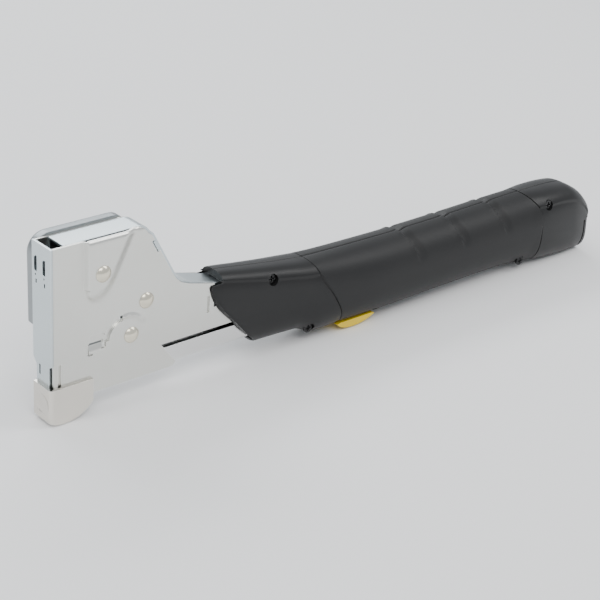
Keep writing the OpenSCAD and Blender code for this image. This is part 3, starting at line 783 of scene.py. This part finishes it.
def pressedDepth(x, z):
    # how far the plate's face stands out from its flat, in millimetres
    cx, cz, r = plate["panelLow"]
    step = smoothStep((x - plate["panelFront"]) / 1.5)
    cornerGap = r - math.hypot(x - cx, min(0, z - cz)) if x < cx else 30
    softness = 1.6 + max(0, x - 18) * 0.5
    cornerFade = smoothStep(cornerGap / 1.6) if z < cz and x < cx else 1
    lowFade = smoothStep((z - (cz - r)) / (softness + 4))
    slopeStart = 26 + (z - 62) * 0.5
    slopeFade = 1 - smoothStep((x - slopeStart) / 8)
    rise = plate["panelRise"] * step * cornerFade * lowFade * slopeFade
    roll = 0
    if x > 17:
        near = min(1, max(0, (z - (headTop - plate["rollHeight"])) / plate["rollHeight"]))
        roll = plate["rollDepth"] * (1 - math.sqrt(1 - near**2)) * smoothStep((x - 17) / 1.5)
    left, rightEdge, bottom, top = plate["tab"]
    dent = 0
    if left < x < rightEdge and bottom < z < top + 0.4:
        dent = plate["tabDepth"] * smoothStep((z - bottom) / (top - bottom))
    rx, rz, ridgeRadius = plate["ridge"]
    angle = math.degrees(math.atan2(z - rz, x - rx))
    reach = math.hypot(x - rx, z - rz)
    along = smoothStep((angle - 20) / 25) * (1 - smoothStep((angle - 95) / 20))
    ridge = 0.8 * math.exp(-(((reach - ridgeRadius) / 0.9) ** 2)) * along
    return rise - roll - dent + ridge


def gradedPlaces(stops):
    # places along one side of the sheet, each stretch with its own spacing
    places = [stops[0][0]]
    for (start, gap), (end, _) in zip(stops, stops[1:]):
        count = max(1, round((end - start) / gap))
        places += [start + (end - start) * k / count for k in range(1, count + 1)]
    return places


acrossSheet = gradedPlaces([(0.6, 2.5), (15.6, 0.42), (20, 0.6), (44, 0.9), (54, 4), (114, 4)])
upSheet = gradedPlaces([(9, 2.5), (29, 0.5), (46, 0.9), (53, 0.7), (81, 0.4), (86, 0.4)])


def layPlate(column, row):
    x, z = acrossSheet[column], upSheet[row]
    return Vector((x, -plateFace - pressedDepth(x, z), z)) * mm


leftPlate = bentGrid("leftPlate", len(acrossSheet), len(upSheet), layPlate)
startEdit(leftPlate)
bpy.ops.mesh.extrude_region_move(TRANSFORM_OT_translate={"value": Vector((0, plate["thick"], 0)) * mm})
bpy.ops.mesh.select_all(action="SELECT")
bpy.ops.mesh.normals_make_consistent(inside=False)
endEdit()
lowEdge = plate["lowEdge"]
blank = traceOutline("blank", headOutline(1.03, lowEdge, True), "side", -plateFace - 6, 8.5)
carve(leftPlate, [blank], "INTERSECT")
springAt = (38.5, 33)
arcBand = arcPoints(springAt, 11.4, 178, 98, 10) + arcPoints(springAt, 8.4, 98, 178, 10)
plateTools = [
    [(19.4, 34.2), (26.9, 34.2), (28, 36), (27.6, 38.2), (26.6, 38.7), (20.4, 38.7), (19.5, 38)],
    [(18.6, 34.6), (18.6, 29.2), (19.2, 28.8), (21.4, 28.8), (21.4, 29.6), (19.5, 29.6), (19.5, 34.6)],
    [(27.4, 36), (27.4, 31.6), (25.9, 31.6), (25.9, 30.8), (27.7, 30.8), (28.3, 31.2), (28.3, 36)],
    arcBand,
    [(84.4, 32), (86, 32), (86, 40.6), (84.4, 40.6)],
    [(3.1, 5), (4.9, 5), (4.9, 29), (3.1, 29)],
]
carve(leftPlate, [traceOutline("tool", outline, "side", -plateFace - 4, 5) for outline in plateTools])
soften(leftPlate, 0.16, segments=2, angle=55, smooth=32)
settle(leftPlate, "nose", "chrome_plate", "left_side_plate")

rightPlate = traceOutline("rightPlate", headOutline(1.0, lowEdge, False), "side",
                          plateFace - plate["thick"], plate["thick"])
carve(rightPlate, [block((-3, 0, 0), (4.8, 20, 29))])
soften(rightPlate, 0.25)
settle(rightPlate, "nose", "chrome_plate", "right_side_plate")

# Front plate with its lanced slots
front = {
    "thick": highOf("front_plate").x,
    "stepZ": 29,
    "footHalf": 4.6,
    "footLow": lowOf("front_plate").z,
    "slots": (-2.4, 4.2),
}
footTop = front["stepZ"]
footNear, footFar = -front["footHalf"] - 0.6, front["footHalf"]
frontOutline = [(-plateFace, footTop), (footNear, footTop - 1.2), (footNear, front["footLow"]),
                (footFar, front["footLow"]), (footFar, footTop - 3), (plateFace, footTop),
                (plateFace, headTop), (-plateFace, headTop)]
frontPlate = traceOutline("frontPlate", frontOutline, "front", 0, front["thick"])
slotTools = []
for y in front["slots"]:
    slotTools.append(block((-1, y - 0.65, 71), (3, y + 0.65, 78.2)))
    slotTools.append(block((-1, y - 0.45, 65.4), (3, y + 0.45, 67.4)))
    slotTools.append(pin((y + 0.4, 69.4), 0.5, -1, 3, "x", 16))
slotTools.append(block((-1, 1.6, 22), (3, 2.6, 27)))
carve(frontPlate, slotTools)
soften(frontPlate, 0.3, segments=3)
lances = []
for y in front["slots"]:
    hook = [(0.0, 0), (-0.7, 0.3), (-0.9, 1.2), (-0.9, 6), (-0.6, 6.8), (0.1, 7.0)]
    lance = traceOutline("lance", hook, "side", y + 0.55, 0.35)
    bpy.ops.transform.translate(value=(0.3 * mm, 0, 71.1 * mm))
    bakePlace(lance)
    lances.append(lance)
frontPlate = joinPieces("frontPlate", [frontPlate] + lances)
settle(frontPlate, "nose", "zinc_sheet", "front_plate")

# Striker frame: a folded strip over the head, with two flanges inside
strip = {
    "thick": 1.2,
    "half": highOf("striker_frame").y,
    "start": 7.3,
    "out": 1.8,
    "rivetSlots": [(25.2, 68.4), (50, 48)],
}
outerLine = [(strip["start"], headTop)] + slopeOutline(strip["out"])
outerLine = [p for p in outerLine if p[0] < 83] + [(90, 45.8), (100, 44.2)]
innerLine = []
for k, (x, z) in enumerate(outerLine):
    before = outerLine[max(0, k - 1)]
    after = outerLine[min(len(outerLine) - 1, k + 1)]
    along = Vector((after[0] - before[0], after[1] - before[1])).normalized()
    innerLine.append((x + along.y * strip["thick"], z - along.x * strip["thick"]))
web = traceOutline("stripWeb", outerLine + innerLine[::-1], "side", -strip["half"], 2 * strip["half"])
soften(web, 0.35, segments=3, angle=50)
flangeLine = [(strip["start"], 53.5), (31, 53.5), (31, 38), (60, 38), (70, 33.5), (100, 33.5), (100, 43.6)]
flangeLine += [p for p in innerLine[::-1] if p[0] > strip["start"] + 1] + [(strip["start"], headTop - 1)]
flanges = []
for y in (-strip["half"], strip["half"] - strip["thick"]):
    flange = traceOutline("flange", flangeLine, "side", y, strip["thick"])
    slots = []
    for x, z in strip["rivetSlots"]:
        path = [(x - 3.6, z - 3.6), (x + 3.6, z - 3.6), (x + 6.2, z + 15), (x - 1.4, z + 15)]
        slots.append(traceOutline("slot", path, "side", y - 1, strip["thick"] + 2))
    slots.append(pin((42, 33), 4, y - 1, y + strip["thick"] + 1))
    carve(flange, slots)
    soften(flange, 0.2)
    flanges.append(flange)
# the small lug that fills the notch in the left plate
lug = traceOutline("lug", [(54.3, 76.2), (53.2, 75.7), (56.2, 70.4), (57.6, 71.2)], "side", -plateFace + 0.1, 2)
soften(lug, 0.15)
strikerFrame = joinPieces("strikerFrame", [web, lug] + flanges)
settle(strikerFrame, "striker", "zinc_sheet", "striker_frame")

# Cover on the far plate
cover = {"low": 40, "back": 48, "wall": 1.2, "round": 2.2}
coverTop = highOf("side_cover").z
coverLine = [(0.2, cover["low"] + 4), (4, cover["low"]), (cover["back"] - 8, cover["low"]),
             (cover["back"], cover["low"] + 10)]
coverLine += arcPoints((cover["back"] - 6, coverTop - 6), 6, 0, 90, 6)
coverLine += arcPoints((9, coverTop - 9), 9, 90, 180, 8)
coverDepth = highOf("side_cover").y - plateFace
sideCover = traceOutline("sideCover", coverLine, "side", plateFace, coverDepth)
outerFace = plateFace + coverDepth - 0.1
bevelEdges(sideCover, lambda a, b: min(a.y, b.y) > outerFace, cover["round"], 5)
hollow = block((3, plateFace - 1, cover["low"] + 4),
               (cover["back"] - 4, plateFace + coverDepth - cover["wall"], 78))
carve(sideCover, [hollow])
soften(sideCover, 0.2, smooth=50)
settle(sideCover, "nose", "cover_paint", "side_cover")

# Nose shoe
shoe = {
    "front": lowOf("nose_shoe").x,
    "back": highOf("nose_shoe").x,
    "half": max(-lowOf("nose_shoe").y, highOf("nose_shoe").y),
    "top": 18,
    "soleRadius": 19,
    "wall": 1.5,
    "cornerRound": 2.2,
}
sole = arcPoints((6, shoe["soleRadius"]), shoe["soleRadius"], -113.2, -38.8, 20)
shoeLine = [(shoe["front"] - 0.1, shoe["top"])] + sole + [(shoe["back"], shoe["top"])]
noseShoe = traceOutline("noseShoe", shoeLine, "side", -shoe["half"] - 0.1, 2 * shoe["half"] + 0.2)
shoeRound = shoe["cornerRound"]
roundX, roundY = shoe["front"] + shoeRound, shoe["half"] - shoeRound
shoePlan = arcPoints((roundX, -roundY), shoeRound, 180, 270, 6)
shoePlan += [(shoe["back"] + 1, -shoe["half"]), (shoe["back"] + 1, shoe["half"])]
shoePlan += arcPoints((roundX, roundY), shoeRound, 90, 180, 6)
carve(noseShoe, [traceOutline("plan", shoePlan, "top", -2, 24)], "INTERSECT")
bpy.ops.mesh.primitive_uv_sphere_add(segments=48, ring_count=24, radius=mm)
scoop = bpy.context.object
scoop.scale = (2.2, 6.4, 6)
scoop.location = Vector((shoe["front"] - 1.1, -1.6, 9.2)) * mm
bakePlace(scoop)
rim = block((-2, -40, 0), (shoe["wall"] + 1, 40, 20))
pick(rim)
bpy.ops.transform.rotate(value=math.radians(16), orient_axis="X", center_override=(0, 0, 0))
bpy.ops.transform.translate(value=(-1 * mm, 0, (shoe["top"] + 2.2) * mm))
bakePlace(rim)
shoeTools = [
    block((0.3, -5.6, -5), (3.3, 5.6, 12)),
    block((0, -plateFace, 1.6), (shoe["back"] + 2, plateFace, 40)),
    block((shoe["front"] - 2, front["footHalf"] + 0.4, -2), (4.3, 20, 30)),
    scoop,
    rim,
]
carve(noseShoe, shoeTools)
soften(noseShoe, 0.35, segments=3, angle=40)
settle(noseShoe, "nose", "nickel_shoe", "nose_shoe")

# Domed rivets
rivet = {
    "places": [(25.2, 68.4, 2.4), (50, 48, 0), (42, 33, 0)],
    "head": 3.9,
    "dome": 1.7,
    "shank": 2.2,
}


def spinDome(radius, height, name):
    # a domed head turned from its half section, standing on the XY plane
    ball = (radius**2 + height**2) / (2 * height)
    reach = math.asin(min(1, radius / ball))
    outline = [(0, 0), (radius * 0.97, 0), (radius, 0.12)]
    steps = 9
    for k in range(steps + 1):
        a = reach * (1 - k / steps)
        outline.append((ball * math.sin(a) * 0.995, 0.22 + ball * math.cos(a) - (ball - height)))
    points = [Vector((x, 0, z)) * mm for x, z in outline]
    piece = drawLine(name, points)
    bpy.ops.mesh.spin(steps=48, angle=2 * math.pi, center=(0, 0, 0), axis=(0, 0, 1))
    bpy.ops.mesh.select_all(action="SELECT")
    bpy.ops.mesh.remove_doubles(threshold=0.00001)
    bpy.ops.mesh.normals_make_consistent(inside=False)
    endEdit()
    return piece


rivetParts = []
for x, z, rise in rivet["places"]:
    for side, lift, height in ((-1, rise, rivet["dome"]), (1, 0, 1.4)):
        dome = spinDome(rivet["head"], height, "dome")
        dome.rotation_euler = (-side * math.pi / 2, 0, 0)
        dome.location = Vector((x, side * (plateFace + lift), z)) * mm
        bakePlace(dome)
        rivetParts.append(dome)
    rivetParts.append(pin((x, z), rivet["shank"], -plateFace - rise - 0.1, plateFace + 0.1))
bodyRivets = joinPieces("bodyRivets", rivetParts)
soften(bodyRivets, 0, smooth=40)
settle(bodyRivets, "nose", "rivet_nickel", "body_rivets")

# Return spring, wound as a helix with two legs
spring = {"wire": 0.88, "radius": 9.3, "turns": 4, "pitch": 1.8, "centre": (42, 33)}
pick(None)
bpy.ops.mesh.primitive_circle_add(vertices=14, radius=spring["wire"] * mm,
                                  location=(spring["radius"] * mm, 0, 0), rotation=(math.pi / 2, 0, 0))
coil = bpy.context.object
coil.name = "returnSpring"
bakePlace(coil)
bpy.context.scene.cursor.location = (0, 0, 0)
pick(coil)
bpy.ops.object.origin_set(type="ORIGIN_CURSOR")
coilLength = spring["turns"] * spring["pitch"]
applyModifier(coil, "SCREW", angle=2 * math.pi * spring["turns"], screw_offset=coilLength * mm,
              steps=56, render_steps=56, axis="Z", use_merge_vertices=False)
startEdit(coil)
bpy.ops.mesh.select_all(action="DESELECT")
bpy.ops.mesh.select_non_manifold()
bpy.ops.mesh.fill()
bpy.ops.mesh.select_all(action="SELECT")
bpy.ops.mesh.normals_make_consistent(inside=False)
endEdit()
coil.rotation_euler = (math.pi / 2, 0, 0)
coil.location = Vector((spring["centre"][0], coilLength / 2, spring["centre"][1])) * mm
bakePlace(coil)
legs = []
for start, end in (((22, -2.6, 33.8), (37.5, -2.6, 41.3)), ((42, 2.6, 23.7), (58, 2.6, 23.7))):
    a, b = Vector(start) * mm, Vector(end) * mm
    aimed = (b - a).to_track_quat("Z", "Y").to_euler()
    bpy.ops.mesh.primitive_cylinder_add(vertices=14, radius=spring["wire"] * 0.85 * mm,
                                        depth=(b - a).length, location=(a + b) / 2, rotation=aimed)
    legs.append(bpy.context.object)
    bakePlace(legs[-1])
returnSpring = joinPieces("returnSpring", [coil] + legs)
soften(returnSpring, 0, smooth=60)
settle(returnSpring, "nose", "spring_steel", "return_spring")

# Magazine channel
channel = {"wall": 0.7, "round": 2.2, "lips": 1.6}
channelLow, channelHigh = lowOf("magazine_channel"), highOf("magazine_channel")
half, wall = channelHigh.y, channel["wall"]
inHalf = half - wall
slit = inHalf - channel["lips"]
bendY, bendZ = half - channel["round"], channelLow.z + channel["round"]
outer = [(-half, channelHigh.z)] + arcPoints((-bendY, bendZ), channel["round"], 180, 270, 6)
outer += arcPoints((bendY, bendZ), channel["round"], 270, 360, 6) + [(half, channelHigh.z)]
inner = [(slit, channelHigh.z), (slit, channelHigh.z - wall), (inHalf, channelHigh.z - wall),
         (inHalf, bendZ), (inHalf - 1.2, channelLow.z + wall)]
inner += [(-y, z) for y, z in inner[::-1]]
magazine = traceOutline("magazineChannel", outer + inner, "front", channelLow.x, channelHigh.x - channelLow.x)
latchMid = (latchLow.x + latchHigh.x) / 2
carve(magazine, [block((latchMid - 8, -3.2, 5), (latchMid + 3, 3.2, channelLow.z + wall + 0.2))])
soften(magazine, 0.15, angle=50, smooth=45)
settle(magazine, "nose", "channel_chrome", "magazine_channel")

# Yellow latch
latchLength = latchHigh.x - latchLow.x
x0 = latchLow.x
latchLine = [(x0, 4.1), (x0 + 1.6, 2.6), (x0 + 4, 1.5), (x0 + 7, 0.8), (x0 + 11, 0.6), (x0 + 15, 0.8),
             (x0 + 18.5, 1.4), (x0 + 22, 2.5), (x0 + 24.2, 3.5), (x0 + latchLength, 4.1),
             (x0 + 23.6, 4.6), (x0 + 2, 4.6)]
latchPad = traceOutline("latchPad", latchLine, "side", latchLow.y, latchHigh.y - latchLow.y)
ridges = [block((x0 + 4.5 + 1.9 * k, -8, 0.2), (x0 + 5.2 + 1.9 * k, 8, 0.95)) for k in range(5)]
carve(latchPad, ridges)
soften(latchPad, 0.5, segments=3, angle=30)
pivot = Vector((180.9, 0, 7.8))
lugBlock = block((pivot.x - 2.1, -3.7, 4), (pivot.x + 2.1, 3.7, 8))
lugRound = pin((pivot.x, pivot.z), 2.1, -3.7, 3.7)
arm = block((latchMid - 5, -2.6, 4), (latchMid - 2, 2.6, highOf("latch").z))
soften(arm, 0.3)
latchPiece = joinPieces("latchPiece", [latchPad, lugBlock, lugRound, arm])
settle(latchPiece, "latch", "latch_plastic", "latch")

# Staples, one modelled and repeated
staples = {"pitch": 1.4, "wire": 0.6, "gap": 0.08}
stripLow, stripHigh = lowOf("staple_strip"), highOf("staple_strip")
legIn, crownLow = stripHigh.y - staples["wire"], stripHigh.z - staples["wire"]
stapleLine = [(-stripHigh.y, stripLow.z), (-stripHigh.y, stripHigh.z), (stripHigh.y, stripHigh.z),
              (stripHigh.y, stripLow.z), (legIn, stripLow.z), (legIn, crownLow),
              (-legIn, crownLow), (-legIn, stripLow.z)]
staple = traceOutline("staples", stapleLine, "front", stripLow.x, staples["pitch"] - staples["gap"])
soften(staple, 0.14)
stapleCount = round((stripHigh.x - stripLow.x) / staples["pitch"])
applyModifier(staple, "ARRAY", count=stapleCount, use_relative_offset=False, use_constant_offset=True,
              constant_offset_displace=(staples["pitch"] * mm, 0, 0))
settle(staple, "nose", "staple_wire", "staple_strip")

# Handle screws with a cross recess
screwParts = []
for x, z in screwPlaces:
    seat = sectionAt(x)[2] - 5
    head = pin((x, z), screwHead, -seat - 1.6, -seat, sides=32)
    cross = [block((x - 0.45, -seat - 3, z - 1.6), (x + 0.45, -seat - 0.6, z + 1.6)),
             block((x - 1.6, -seat - 3.1, z - 0.45), (x + 1.6, -seat - 0.55, z + 0.45))]
    carve(head, cross)
    soften(head, 0.3, segments=3, angle=50)
    screwParts.append(head)
    screwParts.append(pin((x, z), 1.5, -seat + 0.1, 5))
handleScrews = joinPieces("handleScrews", screwParts)
settle(handleScrews, "striker", "screw_black", "handle_screws")

# End cap of the drawer
capLow, capHigh = lowOf("end_cap"), highOf("end_cap")
capStart = capLow.x + 1.4
capBody = block((capStart, capLow.y, capLow.z), capHigh)
grips = [block((capHigh.x - 0.6, -20, z), (capHigh.x + 1, 20, z + 1)) for z in (6, 9, 12, 15)]
carve(capBody, grips)
soften(capBody, 0.5, segments=3)
capTongue = block((capLow.x, -3.6, 12.8), (capStart + 0.5, 3.6, 17))
endCap = joinPieces("endCap", [capBody, capTongue])
settle(endCap, "drawer", "cap_plastic", "end_cap")
print("head, magazine and trim done")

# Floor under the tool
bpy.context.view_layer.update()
bpy.ops.mesh.primitive_plane_add(size=studio["floorSize"], location=(0, 0, min(cadBox[0][2], 0) - 0.0003))
floor = bpy.context.object
floor.name = "studioFloor"
paper = bpy.data.materials.new("floorPaper")
paper.use_nodes = True
paperShader = paper.node_tree.nodes["Principled BSDF"]
paperShader.inputs["Base Color"].default_value = (0.88, 0.88, 0.88, 1)
paperShader.inputs["Roughness"].default_value = 0.8
floor.data.materials.append(paper)
